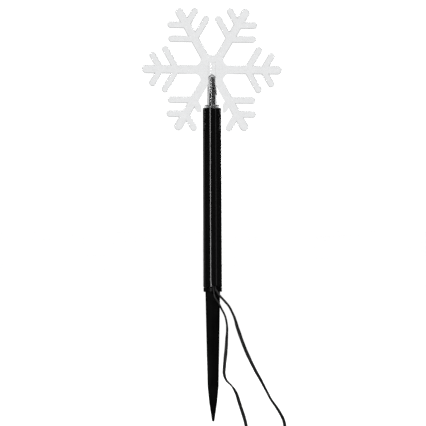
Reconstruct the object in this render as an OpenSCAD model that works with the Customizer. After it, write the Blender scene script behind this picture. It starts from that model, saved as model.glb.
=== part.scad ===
// Snowflake pathway light: a clear flake on a black pole that stands on a ground spike.
// Millimetres, +Z up the pole, +Y to the back. The origin is on the axis, at the ground line.

/* [Snowflake] */
// Height of the flake's centre above the ground line
flake_z = 161; // [155:1:170]
// Radius to the end of an arm
flake_r = 50.6; // [46:0.2:55]
// Thickness of the flake
flake_t = 3; // [2:0.5:4]
// Width of an arm
arm_w = 6.1; // [5.5:0.1:6.5]
// Width of a twig
twig_w = 4.7; // [4.2:0.1:5]
// Radius at which the long twigs leave an arm
inner_twig_r = 25.5; // [25:0.1:27]
// Length of a long twig from the arm's centre line
inner_twig_l = 19; // [14:0.1:19.5]
// Length of the two long twigs that are cut short beside the stem
cut_twig_l = 9.8; // [8:0.1:10]
// Radius at which the short twigs leave an arm
outer_twig_r = 37.2; // [36:0.2:39]
// Length of a short twig from the arm's centre line
outer_twig_l = 13.9; // [10:0.1:14.5]
// Radius of the hub's disc
hub_r = 13.3; // [12:0.1:15]
// Turn of the flake on its stem, clockwise from the front, in degrees
flake_turn = 0.8; // [0:0.1:1]

/* [Stem] */
// Radius of the stem at its top
stem_top_r = 3.2; // [3.2:0.1:3.4]
// Radius of the stem at the pole
stem_r = 3.6; // [3.5:0.1:3.8]
// Height of the stem's top
stem_top_z = 167; // [165:1:169]

/* [Pole] */
// Outer radius of the tube at its foot
tube_foot_r = 6.85; // [6.6:0.05:7]
// Outer radius of the tube at its mouth
tube_top_r = 6.65; // [6.4:0.05:6.7]
// Radius of the tube's bore
bore_r = 5.5; // [5.4:0.1:5.6]
// Height of the tube's mouth
tube_top_z = 133.2; // [125:0.2:134]
// Height of the base collar
collar_h = 3.2; // [2.5:0.1:3.5]
// Outer radius of the base collar
collar_r = 6.7; // [6.5:0.05:6.8]

/* [Spike] */
// Length of the spike below the ground line
spike_l = 94; // [85:1:105]
// Half the spike's width at the ground line
spike_top_w = 5.35; // [5:0.05:5.6]
// Half the spike's width where its point starts
spike_low_w = 4.05; // [3.8:0.05:4.4]
// Width of the spike's chamfers
spike_chamfer = 1.4; // [1:0.1:1.6]
// Radius of the round spigot that carries the pole
spigot_r = 3; // [2.8:0.1:3]

/* [Leads] */
// Width of the flat two-core flex
flex_w = 2.4; // [2.2:0.1:2.6]
// Thickness of the flex
flex_t = 1.2; // [1:0.1:1.3]
// Length of a hank's straight runs
hank_run = 36; // [36:1:38]
// Radius of a hank's end loops, to the middle of the flex
hank_loop_r = 7.2; // [7.2:0.1:7.4]

/* [Connectors] */
// Radius of the connectors' barrels
barrel_r = 3.4; // [3.2:0.1:3.5]
// Radius of the socket's sleeve
sleeve_r = 4.05; // [4:0.05:4.1]
// Radius over the coupling nut's grip ribs
nut_r = 4.8; // [4.7:0.05:4.9]
// Distance from a contact to the connector's axis
contact_pitch = 1.1; // [1:0.1:1.2]

/* [Hidden] */
$fn = 48;
eps = 0.01;

// Running clearance between pieces that turn or slide in each other, and between pieces that don't
fit = 0.05;
clear = 0.3;

// Stem, plug and lamp
plug_top_z = tube_top_z + 2.1;
plug_low_z = 122.1;
stem_low_z = plug_low_z + 0.2;
groove_z = 127.6;
groove_r = 4.3;
seal_r = 0.52;
holder_low_z = 108;
lamp_r = 1.45;
lamp_z = 148.7;
lamp_dome_z = 155.3;
shrink_r = 2.1;
shrink_top_r = 1.85;
shrink_low_z = 110;
shrink_neck_z = [147, 150.3];
shrink_top_z = 154.2;
lamp_bore_step_z = shrink_neck_z[1] + 0.2;
lamp_bore_top_z = 155.6;
lamp_bore_tip_z = 158.2;
leg_low_z = 141;
pole_gap_x = 7.7;

// Wiring inside the pole: the wires lie at leg_y in the lamp's sleeve and at wire_y below it
leg_y = 0.6;
wire_y = 2.2;
wire_r = 0.5;
wire_bend_z = 98;
wire_bend_h = 8;
splice_z = [46, 50];
splice_l = 14;
splice_r = 1.7;
resistor_z = 82.2;
resistor_l = 6.3;
resistor_leg_l = 2.5;
tail_x = 1.25;
tail_y = -2.5;
tail_top_z = 40;
tie_z = 24;

// The foot of the pole: the leads leave through the notch at the front
plug_foot_z = 13;
notch_x = [-0.7, 3.5];
notch_y = -3.7;
notch_top_z = 4.6;
ramp_h = 1.9;

// Spike: the heights at which its outline turns, and half its width there
point_z = -68;
point_mid_z = -80;
point_mid_w = 2.9;
tip_r = 0.95;
pocket_w = 5.4;
pocket_h = 12.5;
pocket_pitch = 14;
pocket_count = 4;
pocket_y = 1;

// Surface that the spare lead lies on, and the hanks' middles
floor_z = -112;
tie_t = 0.6;
tie_w = 2.5;
hank_x = 27.3;
hank_in_y = -12.6;
hank_out_y = 5.8;
hank_z = floor_z + tie_t;
hank_h = 5.6;
hank_r = hank_loop_r + flex_w / 2;

// Where each connector's boot starts: both point along -X
boot_l = 14;
connector_z = floor_z + nut_r;
plug_at = [-8, -15, connector_z];
socket_at = [-8, 8, connector_z];

// Plug, nut and socket, from the thin end of their boots: the nose goes into the sleeve
nose_r = 3.1;
nose_hole_r = 2.65;
nose_seal_z = 25.4;
plug_flange_z = 22;
plug_l = 32;
nut_lip_z = 20.2;
nut_l = 34;
nut_bore_r = sleeve_r + 0.15;
socket_flange_z = 24;
sleeve_z = 26;
socket_l = 34;
core_r = 2.5;

// Routes of the leads, as [x, y, z, turn of the flex about its own line in degrees]
out_route = [
    [2, -5.6, 1.6, 90], [4.5, -7.4, -2, 90], [8.5, -8.2, -6.5, 90], [11.8, -8.4, -10.5, 90],
    [14.1, -8.4, -15, 90], [16, -8.2, -19.5, 75], [17.5, -8, -25, 40], [19.2, -8, -30, 15],
    [21.1, -7.8, -35.5, 0], [23.4, -7.5, -41.5, 0], [25.8, -7.2, -47, 10], [28.2, -7, -52, 25],
    [30.7, -6.8, -57, 40], [33.8, -6.5, -62.5, 55], [36.4, -6, -67.5, 70], [39, -5.6, -72.5, 80],
    [41.9, -5.2, -78, 80], [45.4, -4.8, -83, 70], [48.8, -4.4, -88.5, 62], [50.9, -4.2, -93, 55],
    [52, -4, -98, 40], [52.4, -2.6, -102.5, 20], [52.5, 0.8, -105.6, 5], [52.5, 5.8, -106.6, 0]
];
in_route = [
    [0.5, -5.8, 1, 90], [1.5, -7.3, -3.5, 90], [4, -7.9, -7.5, 90], [6.2, -8, -12, 90],
    [8.7, -8.2, -17, 90], [10, -8.2, -22.5, 88], [10.3, -8, -28, 75], [9.9, -8, -34, 55],
    [9.6, -7.8, -40, 35], [8.9, -7.6, -47, 0], [8.3, -7.4, -53, 25], [8, -7.2, -59, 45],
    [9.7, -7.2, -64, 80], [13.6, -7, -68, 105], [16.6, -6.8, -73, 145], [18.3, -6.4, -78, 180],
    [20, -6, -83.5, 180], [21.8, -5.7, -89, 185], [23.2, -5.5, -94, 205], [24.2, -5.4, -98.5, 225],
    [25.9, -5.4, -103, 250], [29, -5.4, -105.6, 265], [33.5, -5.4, -106.4, 270]
];
out_end_route = [
    [5, 13, -110.8, 0], [-1, 12.1, -110, 0], [-5, 9.8, -108.6, 0], [-9, 8.3, -107.5, 0],
    [-14, 8, -107.2, 0]
];
in_end_route = [
    [5, -19.8, -110.8, 0], [-1, -18.8, -110, 0], [-5, -16.8, -108.6, 0],
    [-9, -15.3, -107.5, 0], [-14, -15, -107.2, 0]
];
out_tail_route = [
    [1.25, -2.5, 40, 0], [1.25, -2.5, 32, 0], [1.25, -2.5, 22, 0], [1.25, -3.2, 17, 0],
    [1.25, -4.3, 12, 0], [1.25, -4.3, 9, 0], [1.6, -4.6, 5, 45], [2, -5.6, 1.6, 90]
];
in_tail_route = [
    [-1.25, -2.5, 40, 0], [-1.25, -2.5, 32, 0], [-1.25, -2.5, 22, 0], [-1.25, -3.2, 17, 0],
    [-1.25, -4.3, 12, 0], [-1.25, -4.3, 9, 0], [-0.3, -4.7, 5, 45], [0.5, -5.8, 1, 90]
];

// Vector helpers
function point(p) = [p[0], p[1], p[2]];
function unit(v) = v / norm(v);
function square_to(v, t) = unit(v - (v * t) * t);

// Direction of a route at its point i, and the flex's width direction carried along the route
function heading(r, i) =
    unit(point(r[min(i + 1, len(r) - 1)]) - point(r[max(i - 1, 0)]));
function carried(r, start, i = 0, w = undef) =
    i == len(r) ? [] :
    let (now = square_to(i == 0 ? start : w, heading(r, i)))
    concat([now], carried(r, start, i + 1, now));

// Eight points round the flex, which has a flat section with round edges, and round a wire
flex_section = [
    for (s = [[1, 0.35], [0.72, 1], [-0.72, 1], [-1, 0.35], [-1, -0.35], [-0.72, -1], [0.72, -1], [1, -0.35]])
    [s[0] * flex_w / 2, s[1] * flex_t / 2]
];
function wire_section(r) = [for (a = [0 : 45 : 315]) r * [cos(a), sin(a)]];

// A section placed at a route's point p, across its heading t and along its width direction w
function ring(section, p, t, w) =
    let (
        a = cos(p[3]) * w + sin(p[3]) * cross(t, w),
        b = cross(t, a)
    )
    [for (s = section) point(p) + s[0] * a + s[1] * b];

// A section swept along a route, its width starting along the direction given
module sweep(section, route, start) {
    n = len(route);
    m = len(section);
    widths = carried(route, start);
    rings = [for (i = [0 : n - 1]) each ring(section, route[i], heading(route, i), widths[i])];
    sides = [
        for (i = [0 : n - 2], k = [0 : m - 1])
        let (j = (k + 1) % m)
        each [
            [i * m + k, (i + 1) * m + k, (i + 1) * m + j],
            [i * m + k, (i + 1) * m + j, i * m + j]
        ]
    ];
    caps = [
        [for (k = [0 : m - 1]) k],
        [for (k = [m - 1 : -1 : 0]) (n - 1) * m + k]
    ];
    polyhedron(points = rings, faces = concat(sides, caps));
}

// A ring, or a tube wall, standing on z
module pipe(z, h, r, hole) {
    translate([0, 0, z])
        difference() {
            cylinder(h = h, r = r);
            translate([0, 0, -eps])
                cylinder(h = h + 2 * eps, r = hole);
        }
}

// A bar with a round end, from the origin along +X, with its end at length l
module bar(l, w) {
    translate([0, -w / 2])
        square([l - w / 2, w]);
    translate([l - w / 2, 0])
        circle(d = w);
}

// A twig of length l that leaves an arm at radius r, on one side of it
module twig(r, side, l) {
    translate([r, 0])
        rotate(side * 60)
            bar(l, twig_w);
}

// One arm of the flake with its four twigs, the inner one on the stem's side cut short
module arm(stem_side = 0) {
    bar(flake_r, arm_w);
    for (side = [-1, 1]) {
        twig(inner_twig_r, side, side == stem_side ? cut_twig_l : inner_twig_l);
        twig(outer_twig_r, side, outer_twig_l);
    }
}

// The flake's outline round its centre: six arms on a hub that is scalloped between them
module flake_outline() {
    scallop_r = 4.8;
    scallop_at = 15;
    difference() {
        circle(r = hub_r);
        for (i = [0 : 5])
            rotate(30 + 60 * i)
                translate([scallop_at, 0])
                    circle(r = scallop_r);
    }
    for (i = [0 : 5])
        rotate(60 * i)
            arm(i == 4 ? 1 : i == 5 ? -1 : 0);
}

// The turned outline, trimmed where it would touch the pole
module trimmed_outline() {
    difference() {
        rotate(-flake_turn)
            flake_outline();
        translate([-pole_gap_x, -flake_r])
            square([2 * pole_gap_x, flake_r + plug_top_z - flake_z]);
    }
}

// The stem, drawn with its bore for the lamp: its foot turns in the plug and its top fills the hub
module stem_outline() {
    polygon([
        [0, stem_low_z], [stem_r, stem_low_z], [stem_r, plug_top_z], [stem_top_r, stem_top_z],
        [0, stem_top_z]
    ]);
}

module lamp_bore_outline() {
    wide = shrink_r + clear + fit;
    narrow = shrink_top_r + clear + fit;
    polygon([
        [0, stem_low_z - 1], [wide, stem_low_z - 1], [wide, lamp_bore_step_z],
        [narrow, lamp_bore_step_z], [narrow, lamp_bore_top_z], [0, lamp_bore_tip_z]
    ]);
}

module snowflake() {
    color([0.93, 0.95, 0.96, 0.4])
        difference() {
            union() {
                translate([0, 0, flake_z])
                    rotate([90, 0, 0])
                        linear_extrude(flake_t, center = true)
                            trimmed_outline();
                rotate_extrude()
                    stem_outline();
            }
            rotate_extrude()
                lamp_bore_outline();
        }
}

module stem_plug() {
    rim = 0.4;
    r = bore_r - 0.08;
    groove_h = 2 * seal_r + 0.3;
    color([0.93, 0.95, 0.96, 0.4])
        rotate_extrude()
            polygon([
                [stem_r + fit, plug_low_z], [r - rim, plug_low_z], [r, plug_low_z + rim],
                [r, groove_z - groove_h / 2], [groove_r, groove_z - groove_h / 2],
                [groove_r, groove_z + groove_h / 2], [r, groove_z + groove_h / 2],
                [r, plug_top_z - rim], [r - rim, plug_top_z], [stem_r + fit, plug_top_z]
            ]);
}

module seal_ring() {
    color([0.1, 0.1, 0.1])
        translate([0, 0, groove_z])
            rotate_extrude()
                translate([groove_r + 2 * fit + seal_r, 0])
                    circle(r = seal_r, $fn = 24);
}

module tube() {
    edge = 0.8;
    lip = 0.3;
    color([0.03, 0.03, 0.03])
        difference() {
            rotate_extrude() {
                polygon([
                    [bore_r, collar_h], [tube_foot_r - edge, collar_h],
                    [tube_foot_r, collar_h + edge], [tube_top_r, tube_top_z - lip],
                    [tube_top_r - lip, tube_top_z], [bore_r, tube_top_z]
                ]);
                translate([tube_foot_r - edge, collar_h + edge])
                    circle(r = edge);
            }
            translate([0, 0, collar_h - edge])
                cylinder(h = tube_top_z, r = bore_r);
            translate([notch_x[0], -tube_foot_r - 1, collar_h - 1])
                cube([notch_x[1] - notch_x[0], tube_foot_r, notch_top_z - collar_h + 1]);
        }
}

module base_collar() {
    edge = 0.5;
    color([0.05, 0.05, 0.05])
        difference() {
            rotate_extrude() {
                polygon([
                    [spigot_r + fit, 0], [collar_r - edge, 0], [collar_r, edge],
                    [collar_r, collar_h - edge], [collar_r - edge, collar_h],
                    [bore_r - fit, collar_h], [bore_r - fit, plug_foot_z],
                    [spigot_r + fit, plug_foot_z]
                ]);
                for (z = [edge, collar_h - edge])
                    translate([collar_r - edge, z])
                        circle(r = edge);
            }
            translate([notch_x[0], -collar_r - 1, -1])
                cube([notch_x[1] - notch_x[0], collar_r + 1 + notch_y, notch_top_z + 1]);
            translate([-2 * tail_x - 0.1, -collar_r - 1, collar_h])
                cube([4 * tail_x + 0.2, collar_r + 1 + notch_y, plug_foot_z]);
        }
}

// The spike's outline, scaled by k and drawn in by half a cut that fades towards the tip
module spike_outline(k, cut) {
    low = -spike_l + tip_r;
    halves = [spike_top_w, spike_low_w, point_mid_w, tip_r];
    cuts = cut * [1, 1, 0.8, 0.3];
    w = [for (i = [0 : 3]) k * (halves[i] - cuts[i] / 2)];
    polygon([
        [-w[0], 0], [-w[1], point_z], [-w[2], point_mid_z], [-w[3], low],
        [w[3], low], [w[2], point_mid_z], [w[1], point_z], [w[0], 0]
    ]);
    translate([0, low])
        circle(r = w[3]);
}

module spike_block(k, cut) {
    rotate([90, 0, 0])
        linear_extrude(30, center = true)
            spike_outline(k, cut);
}

module spike() {
    color([0.04, 0.04, 0.04])
        difference() {
            union() {
                translate([0, 0, -fit])
                    intersection() {
                        spike_block(1, 0);
                        rotate(90)
                            spike_block(1, 0);
                        rotate(45)
                            spike_block(sqrt(2), spike_chamfer);
                        rotate(-45)
                            spike_block(sqrt(2), spike_chamfer);
                    }
                translate([0, 0, -1])
                    cylinder(h = plug_foot_z - 0.5, r = spigot_r);
            }
            for (i = [0 : pocket_count - 1])
                translate([-pocket_w / 2, pocket_y, -6 - pocket_h - i * pocket_pitch])
                    cube([pocket_w, 10, pocket_h]);
            translate([notch_x[0], 0, 0])
                rotate([90, 0, 90])
                    linear_extrude(notch_x[1] - notch_x[0])
                        polygon([
                            [-spike_top_w - 1, -ramp_h - 1], [notch_y, 0], [notch_y, 1],
                            [-spike_top_w - 1, 1]
                        ]);
        }
}

module led_lamp() {
    color([0.85, 0.87, 0.85, 0.6]) {
        translate([0, 0, lamp_z])
            cylinder(h = lamp_dome_z - lamp_z, r = lamp_r);
        translate([0, 0, lamp_dome_z])
            sphere(r = lamp_r);
    }
}

module led_legs() {
    leg_t = 0.5;
    color([0.75, 0.75, 0.74])
        for (side = [-1, 1])
            translate([-leg_t / 2, side * leg_y - leg_t / 2, leg_low_z])
                cube([leg_t, leg_t, lamp_z - leg_low_z]);
}

// Shrink sleeve over the wires and the lamp's barrel, drawn in where it grips the lamp
module lamp_sleeve() {
    wire_hole_r = 1.3;
    lamp_hole_r = lamp_r + fit;
    color([0.06, 0.06, 0.06])
        rotate_extrude()
            polygon([
                [wire_hole_r, shrink_low_z], [shrink_r, shrink_low_z], [shrink_r, shrink_neck_z[0]],
                [shrink_top_r, shrink_neck_z[1]], [shrink_top_r, shrink_top_z],
                [lamp_hole_r, shrink_top_z], [lamp_hole_r, lamp_z - fit],
                [wire_hole_r, lamp_z - fit]
            ]);
}

module lamp_holder() {
    color([0.12, 0.12, 0.12])
        pipe(holder_low_z, plug_low_z - 0.2 - holder_low_z, bore_r - fit, shrink_r + fit);
}

// A lamp wire's upper stretch: from low_z up past its bend to the lamp's leg
function lamp_wire_route(side, low_z) = concat(
    [[0, side * wire_y, low_z, 0]],
    [
        for (t = [0 : 0.25 : 1])
        let (k = (1 - cos(180 * t)) / 2)
        [0, side * (wire_y + (leg_y - wire_y) * k), wire_bend_z + wire_bend_h * t, 0]
    ],
    [[0, side * leg_y, leg_low_z, 0]]
);

module lamp_wires() {
    section = wire_section(wire_r);
    resistor_low = resistor_z - resistor_leg_l;
    resistor_high = resistor_z + resistor_l + resistor_leg_l;
    splice_top = [splice_z[0] + splice_l, splice_z[1] + splice_l];
    color([0.1, 0.1, 0.1]) {
        sweep(section, lamp_wire_route(-1, splice_top[0]), [1, 0, 0]);
        sweep(section, lamp_wire_route(1, resistor_high), [1, 0, 0]);
        translate([0, wire_y, splice_top[1]])
            cylinder(h = resistor_low - splice_top[1], r = wire_r);
    }
}

module series_resistor() {
    body_r = 1.05;
    end_r = 1.2;
    end_l = 1.4;
    leg_r = 0.3;
    color([0.75, 0.62, 0.42])
        translate([0, wire_y, resistor_z]) {
            cylinder(h = resistor_l, r = body_r);
            for (z = [0, resistor_l - end_l])
                translate([0, 0, z])
                    cylinder(h = end_l, r = end_r);
            translate([0, 0, -resistor_leg_l])
                cylinder(h = resistor_l + 2 * resistor_leg_l, r = leg_r, $fn = 24);
        }
}

module splice_sleeves() {
    neck = 1.5;
    color([0.08, 0.08, 0.08])
        for (i = [0, 1])
            translate([0, (2 * i - 1) * wire_y, splice_z[i]]) {
                cylinder(h = neck, r1 = splice_r - 0.5, r2 = splice_r);
                translate([0, 0, neck])
                    cylinder(h = splice_l - 2 * neck, r = splice_r);
                translate([0, 0, splice_l - neck])
                    cylinder(h = neck, r1 = splice_r, r2 = splice_r - 0.8);
            }
}

// The inner cores join at the front splice, and the outer ones pass round it to the back splice
module lead_cores() {
    core_x = flex_w / 4;
    section = wire_section(0.45);
    color([0.12, 0.12, 0.12])
        for (side = [-1, 1]) {
            inner = [
                [side * (tail_x - core_x), tail_y, tail_top_z, 0],
                [side * 0.6, -2.3, tail_top_z + 3, 0],
                [side * 0.55, -wire_y, splice_z[0], 0]
            ];
            outer = [
                [side * (tail_x + core_x), tail_y, tail_top_z, 0],
                [side * 2.5, -1.6, tail_top_z + 2.5, 0],
                [side * 2.6, 0, tail_top_z + 4.5, 0],
                [side * 1.8, 1.7, tail_top_z + 7, 0],
                [side * 0.55, wire_y, splice_z[1], 0]
            ];
            sweep(section, inner, [1, 0, 0]);
            sweep(section, outer, [1, 0, 0]);
        }
}

module lead_tails() {
    color([0.03, 0.03, 0.03]) {
        sweep(flex_section, in_tail_route, [1, 0, 0]);
        sweep(flex_section, out_tail_route, [1, 0, 0]);
    }
}

module strain_tie() {
    wall = 0.6;
    inside = [4 * tail_x + 0.1, flex_t + 0.1];
    head = [2.6, 1.8, 2.4];
    color([0.1, 0.1, 0.1])
        translate([0, tail_y, tie_z]) {
            linear_extrude(head[2])
                difference() {
                    square([inside[0] + 2 * wall, inside[1] + 2 * wall], center = true);
                    square(inside, center = true);
                }
            translate([-head[0] / 2, inside[1] / 2 + wall - eps, 0])
                cube(head);
        }
}

module lead_in() {
    color([0.03, 0.03, 0.03]) {
        sweep(flex_section, in_route, [1, 0, 0]);
        sweep(flex_section, in_end_route, [0, 1, 0]);
    }
}

module lead_out() {
    color([0.03, 0.03, 0.03]) {
        sweep(flex_section, out_route, [1, 0, 0]);
        sweep(flex_section, out_end_route, [0, 1, 0]);
    }
}

// Outline of a hank, r past the middle of its end loops
module hank_outline(r) {
    square([hank_run, 2 * r], center = true);
    for (side = [-1, 1])
        translate([side * hank_run / 2, 0])
            circle(r = r);
}

module hank(y) {
    color([0.03, 0.03, 0.03])
        translate([hank_x, y, hank_z])
            linear_extrude(hank_h)
                hank_outline(hank_r);
}

module hank_in() {
    hank(hank_in_y);
}

module hank_out() {
    hank(hank_out_y);
}

// A flat twist tie round both runs of a hank, with its twisted ends standing on top
module twist_tie(y) {
    twist_h = 4;
    color([0.05, 0.05, 0.05])
        translate([hank_x, y, floor_z]) {
            rotate([90, 0, 90])
                linear_extrude(tie_w, center = true)
                    difference() {
                        translate([-hank_r - tie_t, 0])
                            square([2 * (hank_r + tie_t), hank_h + 2 * tie_t]);
                        translate([-hank_r, tie_t])
                            square([2 * hank_r, hank_h]);
                    }
            translate([0, 0, hank_h + 2 * tie_t - eps])
                cylinder(h = twist_h, r = 0.8, $fn = 24);
        }
}

module tie_in() {
    twist_tie(hank_in_y);
}

module tie_out() {
    twist_tie(hank_out_y);
}

// Turns a connector's own +Z to point along -X, with its boot's thin end at the place given
module connector(at) {
    translate(at)
        rotate([0, -90, 0])
            children();
}

// Tapered strain relief with three flex grooves
module boot() {
    thin_r = 1.9;
    groove = 0.5;
    color([0.05, 0.05, 0.05])
        difference() {
            cylinder(h = boot_l, r1 = thin_r, r2 = barrel_r);
            translate([0, 0, -eps])
                cylinder(h = boot_l - 2, r = flex_w / 2 + fit);
            for (i = [1 : 3])
                translate([0, 0, 2.6 * i]) {
                    r = thin_r + (barrel_r - thin_r) * 2.6 * i / boot_l;
                    difference() {
                        cylinder(h = 1.1, r = r + 1);
                        translate([0, 0, -eps])
                            cylinder(h = 2, r = r - groove);
                    }
                }
        }
}

module plug_boot() {
    connector(plug_at)
        boot();
}

module socket_boot() {
    connector(socket_at)
        boot();
}

module plug_body() {
    nose_floor_z = 25;
    nose_groove = 0.35;
    color([0.06, 0.06, 0.06])
        connector(plug_at)
            difference() {
                union() {
                    translate([0, 0, boot_l])
                        cylinder(h = plug_flange_z - boot_l, r = barrel_r);
                    translate([0, 0, plug_flange_z])
                        cylinder(h = 1.4, r = nut_bore_r - clear);
                    translate([0, 0, plug_flange_z])
                        cylinder(h = plug_l - plug_flange_z, r = nose_r);
                }
                translate([0, 0, nose_floor_z])
                    cylinder(h = plug_l, r = nose_hole_r);
                translate([0, 0, nose_seal_z - nose_groove])
                    difference() {
                        cylinder(h = 2 * nose_groove, r = nose_r + 1);
                        translate([0, 0, -eps])
                            cylinder(h = 2, r = nose_r - 0.2);
                    }
                for (side = [-1, 1])
                    translate([0, side * contact_pitch, nose_floor_z - 3])
                        cylinder(h = 4, r = 0.6 + fit);
            }
}

module plug_pins() {
    color([0.8, 0.66, 0.35])
        connector(plug_at)
            for (side = [-1, 1])
                translate([0, side * contact_pitch, 22]) {
                    cylinder(h = 8.4, r = 0.6, $fn = 24);
                    translate([0, 0, 8.4])
                        cylinder(h = 0.5, r1 = 0.6, r2 = 0.3, $fn = 24);
                }
}

module plug_seal() {
    ring_r = 0.3;
    color([0.5, 0.5, 0.5])
        connector(plug_at)
            translate([0, 0, nose_seal_z])
                rotate_extrude()
                    translate([nose_r - 0.2 + ring_r + 0.02, 0])
                        circle(r = ring_r, $fn = 24);
}

module coupling_nut() {
    rib_r = 0.5;
    rib_count = 14;
    wall_r = nut_r - 0.3;
    lip = 1.5;
    color([0.06, 0.06, 0.06])
        connector(plug_at)
            difference() {
                union() {
                    translate([0, 0, nut_lip_z])
                        cylinder(h = nut_l - nut_lip_z, r = wall_r);
                    for (i = [0 : rib_count - 1])
                        rotate(360 / rib_count * i)
                            translate([nut_r - rib_r, 0, nut_lip_z + 1])
                                cylinder(h = nut_l - nut_lip_z - 2, r = rib_r, $fn = 24);
                }
                translate([0, 0, nut_lip_z - eps])
                    cylinder(h = nut_l, r = barrel_r + 0.08);
                translate([0, 0, nut_lip_z + lip])
                    cylinder(h = nut_l, r = nut_bore_r);
            }
}

module socket_body() {
    color([0.06, 0.06, 0.06])
        connector(socket_at)
            difference() {
                union() {
                    translate([0, 0, boot_l])
                        cylinder(h = socket_flange_z - boot_l, r = barrel_r);
                    translate([0, 0, socket_flange_z])
                        cylinder(h = sleeve_z - socket_flange_z, r = nut_r);
                    pipe(sleeve_z - eps, socket_l - sleeve_z, sleeve_r, nose_r + 0.15);
                    translate([0, 0, sleeve_z - eps])
                        cylinder(h = socket_l - 1 - sleeve_z, r = core_r);
                }
                for (side = [-1, 1])
                    translate([0, side * contact_pitch, 18])
                        cylinder(h = 20, r = 0.95 + fit);
            }
}

module socket_contacts() {
    color([0.8, 0.66, 0.35])
        connector(socket_at)
            for (side = [-1, 1])
                translate([0, side * contact_pitch, 0])
                    pipe(18.1, socket_l - 1.4 - 18.1, 0.95, 0.65);
}

spike();
base_collar();
tube();
stem_plug();
seal_ring();
snowflake();
led_lamp();
led_legs();
lamp_sleeve();
lamp_holder();
lamp_wires();
series_resistor();
splice_sleeves();
lead_cores();
lead_tails();
strain_tie();
lead_in();
lead_out();
hank_in();
hank_out();
tie_in();
tie_out();
plug_boot();
plug_body();
plug_pins();
plug_seal();
coupling_nut();
socket_boot();
socket_body();
socket_contacts();
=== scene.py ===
"""Looks of a snowflake pathway light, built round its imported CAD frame. Metres, +Z up, -Y to the front."""

import logging
import math
import random
from dataclasses import dataclass, field
from enum import Enum

import bmesh
import bpy
from mathutils import Matrix, Vector


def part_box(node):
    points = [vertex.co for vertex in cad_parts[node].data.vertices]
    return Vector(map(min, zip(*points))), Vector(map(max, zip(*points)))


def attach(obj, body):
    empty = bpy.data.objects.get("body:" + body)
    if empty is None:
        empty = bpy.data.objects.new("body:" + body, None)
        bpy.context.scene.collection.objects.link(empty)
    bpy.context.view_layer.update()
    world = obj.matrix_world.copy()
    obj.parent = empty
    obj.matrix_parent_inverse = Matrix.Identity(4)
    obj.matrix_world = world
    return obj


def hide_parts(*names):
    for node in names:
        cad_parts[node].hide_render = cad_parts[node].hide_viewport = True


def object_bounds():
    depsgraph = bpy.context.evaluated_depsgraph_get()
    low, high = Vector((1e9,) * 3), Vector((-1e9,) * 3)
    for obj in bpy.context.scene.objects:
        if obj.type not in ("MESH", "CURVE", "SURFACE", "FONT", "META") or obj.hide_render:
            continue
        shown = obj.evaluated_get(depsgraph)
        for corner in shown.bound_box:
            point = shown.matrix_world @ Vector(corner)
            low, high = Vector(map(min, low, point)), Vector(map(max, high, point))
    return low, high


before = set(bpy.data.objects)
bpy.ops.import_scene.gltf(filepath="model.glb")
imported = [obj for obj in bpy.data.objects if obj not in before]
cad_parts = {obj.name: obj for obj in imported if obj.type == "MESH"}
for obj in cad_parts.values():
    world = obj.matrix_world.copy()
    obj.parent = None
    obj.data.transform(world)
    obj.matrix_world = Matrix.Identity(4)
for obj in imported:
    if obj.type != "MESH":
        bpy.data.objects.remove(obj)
CAD_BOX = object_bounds()

LOG = logging.getLogger("stake_light")
MM = 0.001
PREFIX = "finish_"
UP = Vector((0, 0, 1))
WELD = 0.002 * MM
SAME_PLANE = math.radians(0.5)
NOISE_MIDDLE = (0.3, 0.7)
SHADE_ENDS = (0.35, 0.65)
CRISP_TURN = 40
CURVE_PARTS = 8


# ---------------------------------------------------------------- shader building


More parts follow.
